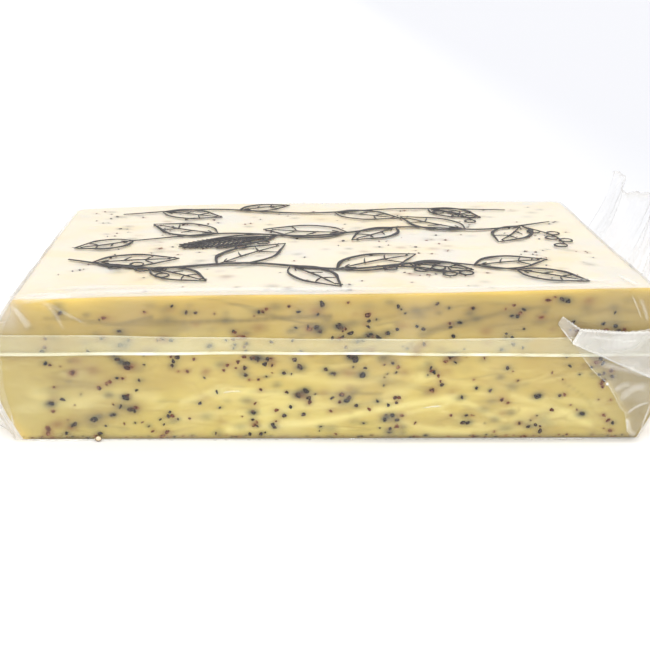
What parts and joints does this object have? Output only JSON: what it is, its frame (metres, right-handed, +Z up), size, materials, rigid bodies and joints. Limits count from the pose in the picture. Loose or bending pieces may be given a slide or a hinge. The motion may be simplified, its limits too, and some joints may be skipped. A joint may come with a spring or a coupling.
{
  "type": "raclette cheese",
  "caption": "Half block of peppered melting cheese with a flat cut face and rounded rind heels, in a clear film wrapper with folded end tails and a lap seam along the cut face.",
  "frame": {"origin": "centre of the block's flat base, on the surface it rests on", "axes": "+X along the cut face, to the right seen from the front, +Y from the cut face towards the back heel, +Z up"},
  "size_m": [0.3205, 0.1804, 0.0888],
  "materials": {
    "cheese": "pale yellow semi-hard cheese with cracked peppercorns, satin under a clear glossy film, cream on the top",
    "film": "thin clear packing film, glossy, milky where it is folded over itself"
  },
  "bodies": {
    "root": {"cheese": "cheese", "film_seam": "film", "film_tail_left": "film", "film_tail_right": "film"}
  },
  "joints": []
}
